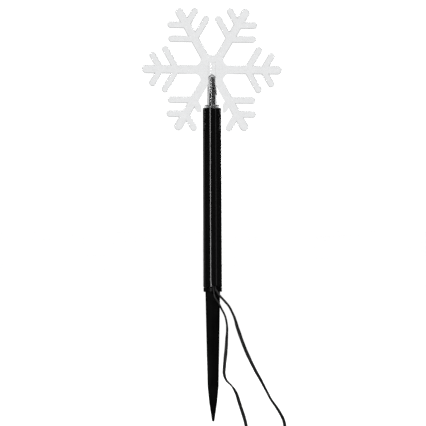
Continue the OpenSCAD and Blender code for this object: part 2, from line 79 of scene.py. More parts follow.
class Graph:
    """A material's node tree, with short calls to add and join its nodes."""

    def __init__(self, name: str) -> None:
        """Starts an empty material with its output node.

        Args:
            name: The material's name, which gets a prefix that keeps it apart from the CAD's own.
        """
        self.material = bpy.data.materials.new(PREFIX + name)
        self.material.use_nodes = True
        self.tree = self.material.node_tree
        self.tree.nodes.clear()
        self.output = self.tree.nodes.new("ShaderNodeOutputMaterial")

    def node(self, kind: str, **values: object) -> bpy.types.Node:
        """Adds a node and sets its properties and sockets by name.

        Args:
            kind: The node's type, without the ShaderNode in front.
            values: Properties, or sockets with underscores for the spaces in their names.

        Returns:
            The new node.
        """
        made = self.tree.nodes.new("ShaderNode" + kind)
        for key, value in values.items():
            socket = made.inputs.get(key.replace("_", " "))
            if hasattr(made, key):
                setattr(made, key, value)
            elif socket is not None:
                socket.default_value = value
            else:
                raise KeyError(f"{kind} has no {key}")
        return made

    def link(self, source: bpy.types.NodeSocket, target: bpy.types.NodeSocket) -> None:
        """Joins two sockets."""
        self.tree.links.new(source, target)

    def place(self, scale: tuple[float, float, float] = (1, 1, 1)) -> bpy.types.NodeSocket:
        """Gives object coordinates in metres, stretched by a scale.

        Args:
            scale: How many times finer the pattern is along X, Y and Z.

        Returns:
            The vector socket to read.
        """
        coordinates = self.node("TexCoord")
        mapping = self.node("Mapping", Scale=scale)
        self.link(coordinates.outputs["Object"], mapping.inputs["Vector"])
        return mapping.outputs["Vector"]

    def noise(
        self, per_metre: float, detail: float = 3, stretch: tuple[float, float, float] = (1, 1, 1),
    ) -> bpy.types.NodeSocket:
        """Adds a noise pattern.

        Args:
            per_metre: How many of its blobs fit in a metre.
            detail: Its octaves.
            stretch: How many times finer it is along each axis.

        Returns:
            The factor socket, from 0 to 1 round 0.5.
        """
        pattern = self.node("TexNoise", Scale=per_metre, Detail=detail)
        self.link(self.place(stretch), pattern.inputs["Vector"])
        return pattern.outputs["Fac"]

    def remap(
        self, value: bpy.types.NodeSocket, low: float, high: float, at_low: float, at_high: float,
    ) -> bpy.types.NodeSocket:
        """Maps a range of a value to another range, held at both ends.

        Args:
            value: The value to map.
            low: Where its range starts.
            high: Where its range ends.
            at_low: The result at the start.
            at_high: The result at the end.

        Returns:
            The result socket.
        """
        mapped = self.node("MapRange", From_Min=low, From_Max=high, To_Min=at_low, To_Max=at_high)
        self.link(value, mapped.inputs["Value"])
        return mapped.outputs["Result"]

    def spread(self, factor: bpy.types.NodeSocket, low: float, high: float) -> bpy.types.NodeSocket:
        """Maps the middle of a noise pattern to a range of values.

        Args:
            factor: The pattern.
            low: The value where the pattern is low.
            high: The value where the pattern is high.

        Returns:
            The value socket.
        """
        return self.remap(factor, *NOISE_MIDDLE, low, high)

    def math(
        self, operation: str, first: bpy.types.NodeSocket, second: bpy.types.NodeSocket | float = 0.0,
    ) -> bpy.types.NodeSocket:
        """Works out one step of arithmetic.

        Args:
            operation: The Math node's operation.
            first: Its first value.
            second: Its second value, a socket or a number, which ABSOLUTE ignores.

        Returns:
            The value socket.
        """
        step = self.node("Math", operation=operation)
        self.link(first, step.inputs[0])
        if isinstance(second, bpy.types.NodeSocket):
            self.link(second, step.inputs[1])
        else:
            step.inputs[1].default_value = second
        return step.outputs["Value"]

    def axes(self) -> bpy.types.NodeOutputs:
        """Gives the object coordinates as sockets X, Y and Z."""
        split = self.node("SeparateXYZ")
        self.link(self.place(), split.inputs["Vector"])
        return split.outputs

    def shades(self, factor: bpy.types.NodeSocket, dark: tuple, light: tuple) -> bpy.types.NodeSocket:
        """Mixes two colours by a pattern.

        Args:
            factor: The pattern.
            dark: Colour where the pattern is low.
            light: Colour where the pattern is high.

        Returns:
            The colour socket.
        """
        ramp = self.node("ValToRGB")
        ends = ramp.color_ramp.elements
        ends[0].position, ends[1].position = SHADE_ENDS
        ends[0].color = (*dark, 1)
        ends[1].color = (*light, 1)
        self.link(factor, ramp.inputs["Fac"])
        return ramp.outputs["Color"]

    def bump(self, height: bpy.types.NodeSocket, depth: float, strength: float) -> bpy.types.NodeSocket:
        """Turns a pattern into a bumped normal.

        Args:
            height: The pattern.
            depth: Height of the pattern in metres.
            strength: Strength of the bump, from 0 to 1.

        Returns:
            The normal socket.
        """
        bumped = self.node("Bump", Strength=strength, Distance=depth)
        self.link(height, bumped.inputs["Height"])
        return bumped.outputs["Normal"]

    def finish(self, shader: bpy.types.Node) -> bpy.types.Material:
        """Joins the shader to the output and gives the finished material."""
        self.link(shader.outputs[0], self.output.inputs["Surface"])
        return self.material


# ---------------------------------------------------------------- finishes


@dataclass(frozen=True)
class ClearAcrylic:
    """Clear moulded acrylic: faint flow waves, a haze that takes a quarter of the light, and painted shade
    on the rims.

    The rims are all that lies between the flake's two flat faces; there the colour is darkened to half, a
    painted shade for the dark edges that refraction gives.
    """

    name: str = "clear_acrylic"
    thin: tuple[float, float, float] = (0.755, 0.76, 0.765)
    hazy: tuple[float, float, float] = (0.71, 0.715, 0.72)
    rim_painted_shade: float = 0.5
    face_y: float = 1.5 * MM
    rim_painted_shade_fade: tuple[float, float] = (0.9, 0.995)
    rough: tuple[float, float] = (0.015, 0.05)
    waves_per_metre: float = 90
    haze_per_metre: float = 420
    scuffs_per_metre: float = 260
    wave_depth: float = 0.1 * MM
    wave_strength: float = 0.12
    ior: float = 1.49

    def material(self) -> bpy.types.Material:
        """Builds the material.

        Returns:
            The material.
        """
        g = Graph(self.name)
        shader = g.node("BsdfPrincipled", IOR=self.ior, Transmission_Weight=1.0)
        flow = g.noise(self.waves_per_metre, 2)
        depth = g.math("ABSOLUTE", g.axes()["Y"])
        # Painted shade: the colour is darkened towards the rims, by the depth |y| between the flat faces.
        fade_from, fade_to = (self.face_y * part for part in self.rim_painted_shade_fade)
        rim = g.remap(depth, fade_from, fade_to, self.rim_painted_shade, 1.0)
        tint = g.node("VectorMath", operation="SCALE")
        g.link(g.shades(g.noise(self.haze_per_metre, 4), self.hazy, self.thin), tint.inputs[0])
        g.link(rim, tint.inputs["Scale"])
        g.link(tint.outputs["Vector"], shader.inputs["Base Color"])
        g.link(g.spread(g.noise(self.scuffs_per_metre), *self.rough), shader.inputs["Roughness"])
        g.link(g.bump(flow, self.wave_depth, self.wave_strength), shader.inputs["Normal"])
        return g.finish(shader)


@dataclass(frozen=True)
class LampEpoxy:
    """Smoke-grey lamp epoxy with a slightly orange-peeled skin."""

    name: str = "lamp_epoxy"
    tint: tuple[float, float, float] = (0.08, 0.08, 0.085)
    rough: tuple[float, float] = (0.04, 0.12)
    scuffs_per_metre: float = 900
    peel_per_metre: float = 700
    peel_depth: float = 0.02 * MM
    peel_strength: float = 0.2
    ior: float = 1.52

    def material(self) -> bpy.types.Material:
        """Builds the material.

        Returns:
            The material.
        """
        g = Graph(self.name)
        shader = g.node("BsdfPrincipled", Base_Color=(*self.tint, 1), IOR=self.ior, Transmission_Weight=1.0)
        g.link(g.spread(g.noise(self.scuffs_per_metre), *self.rough), shader.inputs["Roughness"])
        peel = g.bump(g.noise(self.peel_per_metre), self.peel_depth, self.peel_strength)
        g.link(peel, shader.inputs["Normal"])
        return g.finish(shader)


@dataclass(frozen=True)
class BlackPlastic:
    """Black plastic, from the glossy drawn tube to the satin mouldings and the soft flex.

    The skin pattern can be stretched along the piece, so that drawn tube shows fine lines.
    """

    name: str
    dark: tuple[float, float, float]
    light: tuple[float, float, float]
    shine: float
    rough: tuple[float, float]
    grain_per_metre: float
    grain_depth: float
    stretch: tuple[float, float, float] = (1, 1, 1)
    cloud_per_metre: float = 60
    mottle_per_metre: float = 140
    grain_strength: float = 0.35

    def material(self) -> bpy.types.Material:
        """Builds the material.

        Returns:
            The material.
        """
        g = Graph(self.name)
        shader = g.node("BsdfPrincipled", Specular_IOR_Level=self.shine)
        cloud = g.noise(self.cloud_per_metre, 4, self.stretch)
        grain = g.noise(self.grain_per_metre, 3, self.stretch)
        mottle = g.noise(self.mottle_per_metre, 5, self.stretch)
        g.link(g.shades(cloud, self.dark, self.light), shader.inputs["Base Color"])
        g.link(g.spread(mottle, *self.rough), shader.inputs["Roughness"])
        g.link(g.bump(grain, self.grain_depth, self.grain_strength), shader.inputs["Normal"])
        return g.finish(shader)


@dataclass(frozen=True)
class PaintedHighlightSleeve:
    """Black shrink sleeve with a painted highlight: a pale line down its front left, mottled by noise."""

    name: str = "painted_highlight_sleeve"
    black: tuple[float, float, float] = (0.002, 0.002, 0.002)
    pale: tuple[float, float, float] = (0.8, 0.8, 0.8)
    line_x: float = -0.38 * MM
    half_line: float = 0.38 * MM
    solid_share: float = 0.4
    side_fade: float = 0.2 * MM
    mottle: tuple[float, float] = (0.4, 1.0)
    rough: tuple[float, float] = (0.4, 0.6)
    shine: float = 0.08
    mottle_per_metre: float = 700
    grain_per_metre: float = 1400
    grain_depth: float = 0.04 * MM
    grain_strength: float = 0.3

    def material(self) -> bpy.types.Material:
        """Builds the material.

        Returns:
            The material.
        """
        g = Graph(self.name)
        shader = g.node("BsdfPrincipled", Specular_IOR_Level=self.shine)
        axes = g.axes()
        # Painted highlight: a pale line in the base colour down the front left, standing in for a light's
        # reflection, mottled by noise.
        away = g.math("ABSOLUTE", g.math("SUBTRACT", axes["X"], self.line_x))
        near = g.remap(away, self.half_line * self.solid_share, self.half_line, 1, 0)
        front = g.remap(axes["Y"], -self.side_fade, self.side_fade, 1, 0)
        line = g.math("MULTIPLY", near, front)
        mottled_highlight = g.math("MULTIPLY", line, g.spread(g.noise(self.mottle_per_metre, 3), *self.mottle))
        ramp = g.node("ValToRGB")
        ramp.color_ramp.elements[0].color = (*self.black, 1)
        ramp.color_ramp.elements[1].color = (*self.pale, 1)
        g.link(mottled_highlight, ramp.inputs["Fac"])
        g.link(ramp.outputs["Color"], shader.inputs["Base Color"])
        g.link(g.spread(g.noise(self.grain_per_metre), *self.rough), shader.inputs["Roughness"])
        grain = g.bump(g.noise(self.grain_per_metre), self.grain_depth, self.grain_strength)
        g.link(grain, shader.inputs["Normal"])
        return g.finish(shader)


@dataclass(frozen=True)
class Metal:
    """Bare metal with fine drawing lines and slightly tarnished patches."""

    name: str
    dull: tuple[float, float, float]
    bright: tuple[float, float, float]
    rough: tuple[float, float]
    tarnish_per_metre: float = 500
    scuffs_per_metre: float = 1500
    lines_per_metre: float = 6000
    line_depth: float = 0.01 * MM
    line_strength: float = 0.2

    def material(self) -> bpy.types.Material:
        """Builds the material.

        Returns:
            The material.
        """
        g = Graph(self.name)
        shader = g.node("BsdfPrincipled", Metallic=1.0)
        tarnish = g.shades(g.noise(self.tarnish_per_metre, 4), self.dull, self.bright)
        g.link(tarnish, shader.inputs["Base Color"])
        g.link(g.spread(g.noise(self.scuffs_per_metre, 3), *self.rough), shader.inputs["Roughness"])
        lines = g.bump(g.noise(self.lines_per_metre, 2), self.line_depth, self.line_strength)
        g.link(lines, shader.inputs["Normal"])
        return g.finish(shader)


@dataclass(frozen=True)
class BandedLacquer:
    """A resistor's beige lacquer, with four generic colour bands across its length."""

    name: str = "resistor_lacquer"
    base: tuple[float, float, float] = (0.62, 0.45, 0.26)
    bands: tuple[tuple[float, tuple[float, float, float]], ...] = (
        (0.18, (0.20, 0.07, 0.02)),
        (0.38, (0.02, 0.02, 0.02)),
        (0.58, (0.20, 0.07, 0.02)),
        (0.84, (0.55, 0.38, 0.12)),
    )
    half_band: float = 0.045
    rough: float = 0.3
    grain_per_metre: float = 1800
    grain_depth: float = 0.02 * MM
    grain_strength: float = 0.2

    def material(self, low: float, high: float) -> bpy.types.Material:
        """Builds the material for a body that stands between two heights.

        Args:
            low: Height of the body's foot.
            high: Height of the body's top.

        Returns:
            The material.
        """
        g = Graph(self.name)
        shader = g.node("BsdfPrincipled", Roughness=self.rough)
        along = g.remap(g.axes()["Z"], low, high, 0, 1)
        ramp = g.node("ValToRGB")
        ramp.color_ramp.interpolation = "CONSTANT"
        ramp.color_ramp.elements[0].color = (*self.base, 1)
        ramp.color_ramp.elements.remove(ramp.color_ramp.elements[1])
        for centre, colour in self.bands:
            ramp.color_ramp.elements.new(centre - self.half_band).color = (*colour, 1)
            ramp.color_ramp.elements.new(centre + self.half_band).color = (*self.base, 1)
        g.link(along, ramp.inputs["Fac"])
        g.link(ramp.outputs["Color"], shader.inputs["Base Color"])
        grain = g.bump(g.noise(self.grain_per_metre), self.grain_depth, self.grain_strength)
        g.link(grain, shader.inputs["Normal"])
        return g.finish(shader)


@dataclass(frozen=True)
class Studio:
    """A plain pale surface for the floor."""

    name: str = "studio_floor"
    dark: tuple[float, float, float] = (0.93, 0.93, 0.93)
    light: tuple[float, float, float] = (0.95, 0.95, 0.95)
    rough: float = 0.9
    shine: float = 0.1
    clouds_per_metre: float = 3

    def material(self) -> bpy.types.Material:
        """Builds the material.

        Returns:
            The material.
        """
        g = Graph(self.name)
        shader = g.node("BsdfPrincipled", Roughness=self.rough, Specular_IOR_Level=self.shine)
        clouds = g.shades(g.noise(self.clouds_per_metre, 2), self.dark, self.light)
        g.link(clouds, shader.inputs["Base Color"])
        return g.finish(shader)


class Finish(Enum):
    """The finishes that several pieces share."""

    GLOSS_TUBE = BlackPlastic(
        "gloss_tube", dark=(0.001,) * 3, light=(0.002,) * 3, shine=0.4, rough=(0.08, 0.14),
        grain_per_metre=700, grain_depth=0.01 * MM, stretch=(1, 1, 0.06),
    )
    MOULDING = BlackPlastic(
        "black_moulding", dark=(0.0007,) * 3, light=(0.0015,) * 3, shine=0.16, rough=(0.3, 0.45),
        grain_per_metre=2600, grain_depth=0.02 * MM,
    )
    FLEX = BlackPlastic(
        "flex_pvc", dark=(0.005,) * 3, light=(0.01,) * 3, shine=0.45, rough=(0.3, 0.48),
        grain_per_metre=1500, grain_depth=0.015 * MM,
    )
    RUBBER = BlackPlastic(
        "black_rubber", dark=(0.006,) * 3, light=(0.011,) * 3, shine=0.2, rough=(0.55, 0.75),
        grain_per_metre=3200, grain_depth=0.02 * MM,
    )
    SHRINK = BlackPlastic(
        "shrink_sleeve", dark=(0.003,) * 3, light=(0.02,) * 3, shine=0.3, rough=(0.25, 0.5),
        grain_per_metre=1400, grain_depth=0.04 * MM,
    )
    SILICONE = BlackPlastic(
        "grey_silicone", dark=(0.2, 0.21, 0.22), light=(0.26, 0.27, 0.28), shine=0.3, rough=(0.45, 0.6),
        grain_per_metre=2500, grain_depth=0.01 * MM,
    )
    BRASS = Metal("contact_brass", dull=(0.55, 0.38, 0.14), bright=(0.85, 0.66, 0.3), rough=(0.15, 0.35))
    TINNED = Metal("tinned_wire", dull=(0.5, 0.5, 0.5), bright=(0.75, 0.75, 0.74), rough=(0.2, 0.4))
    ACRYLIC = ClearAcrylic()
    EPOXY = LampEpoxy()
    LINED = PaintedHighlightSleeve()

    def get(self) -> bpy.types.Material:
        """Gives the finish's material, built once."""
        return bpy.data.materials.get(PREFIX + self.value.name) or self.value.material()


# ---------------------------------------------------------------- mesh helpers


def box_of(node: str) -> tuple[Vector, Vector]:
    """Gives a CAD node's lowest and highest corners.

    Args:
        node: The node's name.

    Returns:
        The two corners, in metres.
    """
    low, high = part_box(node)
    return Vector(low), Vector(high)


def dress(node: str, material: bpy.types.Material) -> None:
    """Gives a shown CAD node a better material.

    Args:
        node: The node's name.
        material: The material.
    """
    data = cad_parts[node].data
    data.materials.clear()
    data.materials.append(material)
    LOG.info("%s keeps its CAD shape, in %s", node, material.name)


def add_piece(
    bm: bmesh.types.BMesh, name: str, body: str, material: bpy.types.Material, sharp: float = 35,
) -> bpy.types.Object:
    """Turns a bmesh into a smooth-shaded piece that rides on a body.

    Args:
        bm: The mesh, which is freed.
        name: The piece's name.
        body: The body it rides on.
        material: Its material.
        sharp: Edges that turn more than this many degrees stay crisp.

    Returns:
        The piece.
    """
    for face in bm.faces:
        face.smooth = True
    for edge in bm.edges:
        edge.smooth = len(edge.link_faces) == 2 and edge.calc_face_angle(0) < math.radians(sharp)
    data = bpy.data.meshes.new(name)
    bm.to_mesh(data)
    bm.free()
    data.materials.append(material)
    piece = bpy.data.objects.new(name, data)
    bpy.context.scene.collection.objects.link(piece)
    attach(piece, body)
    LOG.info("%s: %d faces on %s", name, len(data.polygons), body)
    return piece


def even_normals(piece: bpy.types.Object) -> None:
    """Shades a bevelled piece by its large flat faces."""
    weighted = piece.modifiers.new("even_normals", "WEIGHTED_NORMAL")
    weighted.keep_sharp = True


def copied(node: str) -> bmesh.types.BMesh:
    """Copies a CAD node's mesh, joins its triangles and drops the edges across its flat faces.

    Args:
        node: The node's name.

    Returns:
        The joined copy.
    """
    bm = bmesh.new()
    bm.from_mesh(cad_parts[node].data)
    bmesh.ops.remove_doubles(bm, verts=bm.verts, dist=WELD)
    bmesh.ops.dissolve_limit(bm, angle_limit=SAME_PLANE, verts=bm.verts, edges=bm.edges)
    return bm


def soften(
    bm: bmesh.types.BMesh, edges: list[bmesh.types.BMEdge], radius: float, segments: int = 3,
    clamp: bool = True,
) -> None:
    """Rounds edges as a mould does.

    Args:
        bm: The mesh.
        edges: The edges to round.
        radius: How far the round reaches from each edge.
        segments: Its steps.
        clamp: Whether the radius shrinks everywhere to what the tightest corner has room for.
    """
    bmesh.ops.bevel(
        bm, geom=edges, offset=radius, offset_type="OFFSET", segments=segments, profile=0.5,
        affect="EDGES", material=-1, clamp_overlap=clamp,
    )


def softened(node: str, body: str, finish: Finish, radius: float) -> bpy.types.Object:
    """Puts a softened copy in a CAD node's place.

    Args:
        node: The node's name.
        body: The body it rides on.
        finish: Its finish.
        radius: How far each crisp edge is rounded.

    Returns:
        The piece.
    """
    bm = copied(node)
    soften(bm, crisp_edges(bm, CRISP_TURN), radius, 2)
    piece = add_piece(bm, f"soft_{node}", body, finish.get())
    even_normals(piece)
    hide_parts(node)
    return piece


def crisp_edges(bm: bmesh.types.BMesh, least: float) -> list[bmesh.types.BMEdge]:
    """Finds the crisp edges.

    Args:
        bm: The mesh.
        least: An edge is crisp when its faces turn more than this many degrees.

    Returns:
        The edges.
    """
    return [e for e in bm.edges if len(e.link_faces) == 2 and e.calc_face_angle(0) > math.radians(least)]


def turned(
    bm: bmesh.types.BMesh, outline: list[tuple[float, float]], centre: Vector, axis: Vector,
    steps: int = 48, closed: bool = False,
) -> None:
    """Spins an outline round an axis, as on a lathe.

    Args:
        bm: The mesh to add to.
        outline: Points as (distance along the axis, radius).
        centre: Where the axis starts.
        axis: Its direction.
        steps: Steps round.
        closed: Whether the outline closes on itself, as a ring's does.
    """
    start = len(bm.verts)
    side = axis.orthogonal().normalized()
    verts = [bm.verts.new(centre + axis * along + side * radius) for along, radius in outline]
    pairs = list(zip(verts, verts[1:]))
    if closed:
        pairs.append((verts[-1], verts[0]))
    edges = [bm.edges.new(pair) for pair in pairs]
    bmesh.ops.spin(
        bm, geom=verts + edges, cent=centre, axis=axis, dvec=(0, 0, 0), angle=math.tau,
        steps=steps, use_merge=True, use_normal_flip=False, use_duplicate=False,
    )
    bm.verts.ensure_lookup_table()
    bmesh.ops.remove_doubles(bm, verts=bm.verts[start:], dist=WELD)
    bmesh.ops.recalc_face_normals(bm, faces=bm.faces)


# ---------------------------------------------------------------- cords


def through(points: list[Vector], step: float) -> list[Vector]:
    """Draws one smooth curve through points and cuts it into even steps.

    Args:
        points: The points, in order.
        step: The length of a step.

    Returns:
        The points of the even curve.
    """
    fine: list[Vector] = []
    last = len(points) - 1
    for i in range(last):
        before, here, there, after = (points[min(max(i + k, 0), last)] for k in (-1, 0, 1, 2))
        for part in range(CURVE_PARTS):
            t = part / CURVE_PARTS
            fine.append(
                0.5 * (2 * here + (there - before) * t + (2 * before - 5 * here + 4 * there - after) * t**2
                       + (after - before + 3 * here - 3 * there) * t**3)
            )
    fine.append(points[-1])
    total = sum((b - a).length for a, b in zip(fine, fine[1:]))
    count = round(total / step)
    even, gone, index = [fine[0]], 0.0, 0
    for k in range(1, count):
        wanted = total * k / count
        while gone + (fine[index + 1] - fine[index]).length < wanted:
            gone += (fine[index + 1] - fine[index]).length
            index += 1
        part = (wanted - gone) / (fine[index + 1] - fine[index]).length
        even.append(fine[index].lerp(fine[index + 1], part))
    return even + [fine[-1]]


@dataclass(frozen=True)
class Hank:
    """The spare length of a lead, folded to and fro between two round ends, one turn on the other."""

    middle: tuple[float, float]
    top: float
    low: float
    turns: float
    start: float
    clockwise: bool
    run: float = 36 * MM
    loop_r: float = 7.0 * MM
    points_per_turn: int = 36
    slack: float = 0.12 * MM

    @property
    def turn_length(self) -> float:
        """Length of one turn."""
        return 2 * self.run + math.tau * self.loop_r

    def at(self, s: float) -> tuple[float, float]:
        """Finds a place on the hank's outline.

        Args:
            s: The distance round the outline, from the outermost point of the loop at +X.

        Returns:
            The place's x and y.
        """
        quarter = math.pi * self.loop_r / 2
        s %= self.turn_length
        if s < quarter or s >= 3 * quarter + 2 * self.run:
            angle = (s if s < quarter else s - 2 * self.run) / self.loop_r
            x, y = self.run / 2 + self.loop_r * math.cos(angle), self.loop_r * math.sin(angle)
        elif s < quarter + self.run:
            x, y = self.run / 2 - (s - quarter), self.loop_r
        elif s < 3 * quarter + self.run:
            angle = (s - self.run) / self.loop_r
            x, y = -self.run / 2 + self.loop_r * math.cos(angle), self.loop_r * math.sin(angle)
        else:
            x, y = -self.run / 2 + (s - 3 * quarter - self.run), -self.loop_r
        return self.middle[0] + x, self.middle[1] + (-y if self.clockwise else y)

    def points(self, seed: int) -> list[Vector]:
        """Winds the hank from its top turn down to its lowest.

        Args:
            seed: Seed of the turns' small unevenness.

        Returns:
            The points, in order.
        """
        rng = random.Random(seed)
        count = round(self.turns * self.points_per_turn)
        made = []
        for k in range(1, count):
            part = k / count
            x, y = self.at(self.start + part * self.turns * self.turn_length)
            z = self.top + (self.low - self.top) * part
            wander = self.slack * math.sin(math.pi * part)
            made.append(Vector((x + rng.uniform(-1, 1) * wander, y + rng.uniform(-1, 1) * wander, z)))
        return made


@dataclass
class FlexLead:
    """A flat two-core flex: its free stretch, its hank and its end in a connector's boot."""

    name: str
    route: list[tuple[float, float, float, float]]
    end_route: list[tuple[float, float, float]]
    hank: Hank
    seed: int
    length: float
    replaced: tuple[str, ...]
    far_end: str
    width: float = 2.55 * MM
    thickness: float = 1.28 * MM
    step: float = 1.1 * MM
    lobe_steps: int = 8
    lobe_half_angle: float = math.radians(148)
    look_ahead: int = 40
    settle_steps: int = 14
    sharp_turn: float = 60
    least_level: float = 0.1
    free_steps: int = 0
    path: list[Vector] = field(default_factory=list)

    def section(self) -> list[tuple[float, float]]:
        """Draws the flex's outline: two round cores side by side with a groove between them.

        Returns:
            Its points, as (across the width, across the thickness).
        """
        r = self.thickness / 2
        across = self.width / 2 - r
        points = []
        for side in (0.0, math.pi):
            for k in range(self.lobe_steps + 1):
                angle = side - self.lobe_half_angle + 2 * self.lobe_half_angle * k / self.lobe_steps
                points.append((math.cos(side) * across + r * math.cos(angle), r * math.sin(angle)))
        return points

    def turns_at(self, where: list[Vector]) -> list[float]:
        """Reads the flex's twist off its route at each step along its free stretch.

        Args:
            where: The steps of the path.

        Returns:
            The twist at each step in radians, the last one held.
        """
        marks = [Vector(p[:3]) * MM for p in self.route]
        nearest = []
        begin = 0
        for mark in marks:
            ahead = range(begin, min(begin + self.look_ahead, len(where)))
            begin = min(ahead, key=lambda i: (where[i] - mark).length)
            nearest.append(begin)
        twists = []
        for i in range(len(where)):
            k = sum(1 for n in nearest if n <= i) - 1
            if k >= len(nearest) - 1:
                twists.append(math.radians(self.route[-1][3]))
                continue
            span = max(nearest[k + 1] - nearest[k], 1)
            part = (i - nearest[k]) / span
            part = part * part * (3 - 2 * part)
            twists.append(math.radians(self.route[k][3] * (1 - part) + self.route[k + 1][3] * part))
        self.free_steps = nearest[-1]
        return twists

    def build(self) -> bpy.types.Object:
        """Sweeps the section along the path, lays it flat in the hank and closes its ends.

        Returns:
            The lead's piece.
        """
        points = [Vector(p[:3]) * MM for p in self.route]
        points += self.hank.points(self.seed)
        points += [Vector(p) * MM for p in self.end_route]
        self.path = through(points, self.step)
        twists = self.turns_at(self.path)
        bm = bmesh.new()
        section = self.section()
        last = len(self.path) - 1
        width_way = Vector((1, 0, 0))
        rings = []
        settle = self.settle_steps
        for i, here in enumerate(self.path):
            along = (self.path[min(i + 1, last)] - self.path[max(i - 1, 0)]).normalized()
            width_way = (width_way - along * width_way.dot(along)).normalized()
            way = Matrix.Rotation(twists[i], 3, along) @ width_way
            flat = along.cross(UP)
            if i > self.free_steps - settle and flat.length > self.least_level:
                flat.normalize()
                flat = -flat if flat.dot(way) < 0 else flat
                part = min((i - self.free_steps + settle) / settle, 1)
                way = way.lerp(flat, part).normalized()
                if part == 1:
                    width_way = Matrix.Rotation(-twists[i], 3, along) @ flat
            thick_way = along.cross(way)
            rings.append([bm.verts.new(here + way * u + thick_way * v) for u, v in section])
        count = len(section)
        for a, b in zip(rings, rings[1:]):
            for k in range(count):
                bm.faces.new((a[k], a[(k + 1) % count], b[(k + 1) % count], b[k]))
        bm.faces.new(list(reversed(rings[0])))
        bm.faces.new(rings[-1])
        bmesh.ops.recalc_face_normals(bm, faces=bm.faces)
        piece = add_piece(bm, self.name, "pole", Finish.FLEX.get(), self.sharp_turn)
        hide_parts(*self.replaced)
        return piece

    def declare(self, piece: bpy.types.Object, on_it: list) -> None:
        """Args:
            piece: The lead's piece, which is not used.
            on_it: The pieces on it, such as its connector and its tie, which are not used.
        """
        total = sum((b - a).length for a, b in zip(self.path, self.path[1:]))
        LOG.info("%s is %.3f m long", self.name, total)


OUT_ROUTE = [
    (2, -5.6, 1.6, 90), (4.5, -7.4, -2, 90), (8.5, -8.2, -6.5, 90), (11.8, -8.4, -10.5, 90),
    (14.1, -8.4, -15, 90), (16, -8.2, -19.5, 75), (17.5, -8, -25, 40), (19.2, -8, -30, 15),
    (21.1, -7.8, -35.5, 0), (23.4, -7.5, -41.5, 0), (25.8, -7.2, -47, 10), (28.2, -7, -52, 25),
    (30.7, -6.8, -57, 40), (33.8, -6.5, -62.5, 55), (36.4, -6, -67.5, 70), (39, -5.6, -72.5, 80),
    (41.9, -5.2, -78, 80), (45.4, -4.8, -83, 70), (48.8, -4.4, -88.5, 62), (50.9, -4.2, -93, 55),
    (51.9, -4, -98, 40), (52.2, -2.6, -102.5, 20), (52.3, 0.8, -105.6, 5), (52.3, 5.8, -106.6, 0),
]
IN_ROUTE = [
    (0.5, -5.8, 1, 90), (1.5, -7.3, -3.5, 90), (4, -7.9, -7.5, 90), (6.2, -8, -12, 90),
    (8.7, -8.2, -17, 90), (10, -8.2, -22.5, 88), (10.3, -8, -28, 75), (9.9, -8, -34, 55),
    (9.6, -7.8, -40, 35), (8.9, -7.6, -47, 0), (8.3, -7.4, -53, 25), (8, -7.2, -59, 45),
    (9.7, -7.2, -64, 80), (13.6, -7, -68, 105), (16.6, -6.8, -73, 145), (18.3, -6.4, -78, 180),
    (20, -6, -83.5, 180), (21.8, -5.7, -89, 185), (23.2, -5.5, -94, 205), (24.2, -5.4, -98.5, 225),
    (25.9, -5.4, -103, 250), (29, -5.5, -105.6, 265), (33.5, -5.6, -106.4, 270),
]
OUT_END_ROUTE = [(5, 13, -110.8), (-1, 12.1, -110), (-5, 9.8, -108.6), (-9, 8.3, -107.5), (-14, 8, -107.2)]
IN_END_ROUTE = [
    (5, -19.8, -110.8), (-1, -18.8, -110), (-5, -16.8, -108.6), (-9, -15.3, -107.5), (-14, -15, -107.2),
]


# ---------------------------------------------------------------- sub-assemblies


@dataclass(frozen=True)
class SoftBox:
    """A soft box: where it stands, the height on the pole's axis it points at, its size and its watts."""

    name: str
    place: tuple[float, float, float]
    aim_z: float
    size: tuple[float, float]
    power: float


